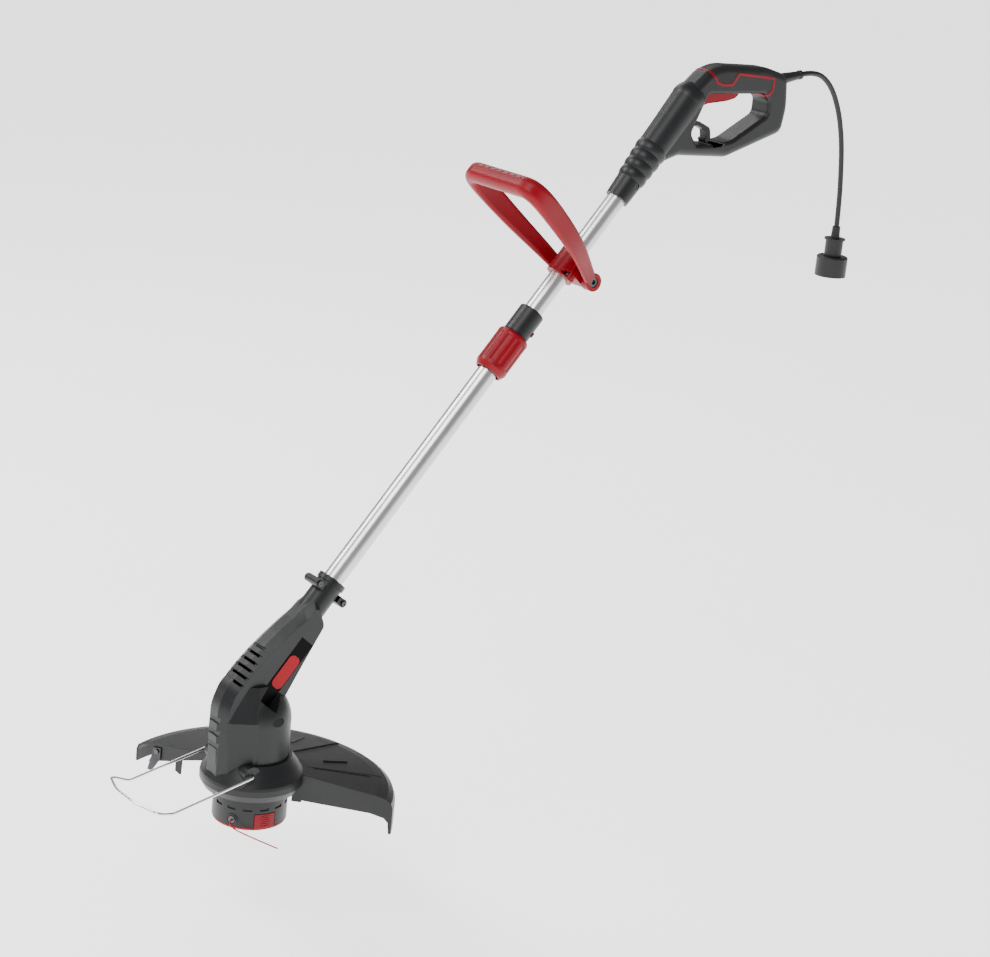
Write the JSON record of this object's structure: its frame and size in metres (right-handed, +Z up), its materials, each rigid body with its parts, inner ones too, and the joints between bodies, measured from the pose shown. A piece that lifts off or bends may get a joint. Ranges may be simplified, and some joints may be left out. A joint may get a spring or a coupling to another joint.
{
  "type": "string trimmer",
  "caption": "Corded telescopic string trimmer with loop rear handle, pivoting front handle, twist-lock collar, motor head, plant guard wire, line guard and spool.",
  "frame": {"origin": "middle of the rear grip, in the plane of symmetry of the tubes", "axes": "+Z up while trimming and along the spindle away from the ground, +X back towards the operator, +Y the operator's right"},
  "size_m": [1.0605, 0.2957, 0.9089],
  "materials": {
    "charcoal_plastic": "satin moulded, fine grain",
    "red_plastic": "semi-gloss moulded",
    "soft_rubber": "matte overmould",
    "black_plastic": "satin moulded",
    "tube_metal": "bright plated",
    "screw_steel": "zinc plated",
    "wire_chrome": "bright drawn wire",
    "spring_steel": "oiled",
    "bearing_steel": "ground",
    "lamination_steel": "stacked laminations",
    "winding_copper": "enamelled wire",
    "blade_brass": "stamped",
    "cutter_steel": "stamped, ground edge",
    "label_film": "smooth film",
    "badge_red": "gloss",
    "cord_rubber": "satin jacket",
    "line_nylon": "extruded monofilament"
  },
  "bodies": {
    "handle": {"handle_shell_left": "charcoal_plastic", "handle_shell_right": "charcoal_plastic", "grip_trim_left": "red_plastic", "grip_trim_right": "red_plastic", "soft_grip": "soft_rubber", "handle_screws": "screw_steel", "switch_body": "black_plastic", "capacitor": "black_plastic", "cord_hook": "black_plastic", "trigger_spring": "spring_steel", "strain_relief": "cord_rubber", "mains_cord": "cord_rubber", "plug_body": "cord_rubber", "plug_shroud": "cord_rubber", "plug_blades": "blade_brass", "upper_tube": "tube_metal"},
    "trigger": {"trigger": "red_plastic"},
    "clamp": {"clamp_saddle": "red_plastic", "clamp_base": "red_plastic", "clamp_screws": "screw_steel"},
    "front_handle": {"assist_handle": "red_plastic", "pivot_bolt": "screw_steel", "pivot_nut": "screw_steel"},
    "coupler": {"coupler_sleeve": "charcoal_plastic", "collet": "black_plastic", "button_spring": "spring_steel"},
    "collar": {"lock_collar": "red_plastic"},
    "button": {"index_button": "red_plastic"},
    "lower_unit": {"lower_tube": "tube_metal", "coiled_lead": "cord_rubber", "motor_housing_left": "charcoal_plastic", "motor_housing_right": "charcoal_plastic", "housing_screws": "screw_steel", "side_labels": "label_film", "blank_badges": "badge_red", "motor_bracket": "black_plastic", "lower_bearing": "bearing_steel", "upper_bearing": "bearing_steel", "bearing_carrier": "black_plastic", "stator_core": "lamination_steel", "field_coils": "winding_copper", "brush_holders": "blade_brass", "guard": "charcoal_plastic", "guard_screws": "screw_steel", "line_cutter": "cutter_steel", "cutter_screw": "screw_steel"},
    "guide": {"edge_guide": "wire_chrome"},
    "spool_head": {"motor_shaft": "bearing_steel", "armature_core": "lamination_steel", "armature_windings": "winding_copper", "commutator": "winding_copper", "cooling_fan": "black_plastic", "spool_drum": "charcoal_plastic", "line_eyelet": "screw_steel", "line_spool": "black_plastic", "wound_line": "line_nylon", "spool_spring": "spring_steel", "cutting_line": "line_nylon"},
    "cap": {"spool_cap": "red_plastic"}
  },
  "joints": [
    {"name": "trigger_squeeze", "type": "hinge", "parent": "handle", "child": "trigger", "pos_m": [-0.054, 0, -0.0146], "axis": [0, -1, 0], "range_deg": [0, 6], "stiffness_Nm_per_rad": 3, "springref_deg": -4.58, "deforming": ["trigger_spring"]},
    {"name": "clamp_slide", "type": "slide", "parent": "handle", "child": "clamp", "axis": [0.6494, 0, 0.7604], "range_m": [-0.015, 0.05]},
    {"name": "front_handle_tilt", "type": "hinge", "parent": "clamp", "child": "front_handle", "pos_m": [-0.2231, 0, -0.2426], "axis": [0, 1, 0], "range_deg": [-35, 35]},
    {"name": "telescope", "type": "slide", "parent": "handle", "child": "coupler", "axis": [0.6494, 0, 0.7604], "range_m": [-0.12, 0.03]},
    {"name": "collar_twist", "type": "hinge", "parent": "coupler", "child": "collar", "pos_m": [-0.648, 0, -0.7016], "axis": [0.6494, 0, 0.7604], "range_deg": [0, 90]},
    {"name": "index_press", "type": "slide", "parent": "coupler", "child": "button", "axis": [-0.5825, 0.6428, 0.4975], "range_m": [0, 0.0011], "stiffness_N_per_m": 600, "springref_m": -0.002},
    {"name": "head_twist", "type": "hinge", "parent": "coupler", "child": "lower_unit", "pos_m": [-0.648, 0, -0.7016], "axis": [0.6494, 0, 0.7604], "range_deg": [0, 180]},
    {"name": "guide_fold", "type": "hinge", "parent": "lower_unit", "child": "guide", "pos_m": [-0.677, 0, -0.8005], "axis": [0, 1, 0], "range_deg": [0, 90]},
    {"name": "spool_spin", "type": "hinge", "parent": "lower_unit", "child": "spool_head", "pos_m": [-0.648, 0, -0.85], "axis": [0, 0, 1], "continuous": true},
    {"name": "cap_release", "type": "slide", "parent": "spool_head", "child": "cap", "axis": [0, 0, -1], "range_m": [0, 0.03]}
  ]
}
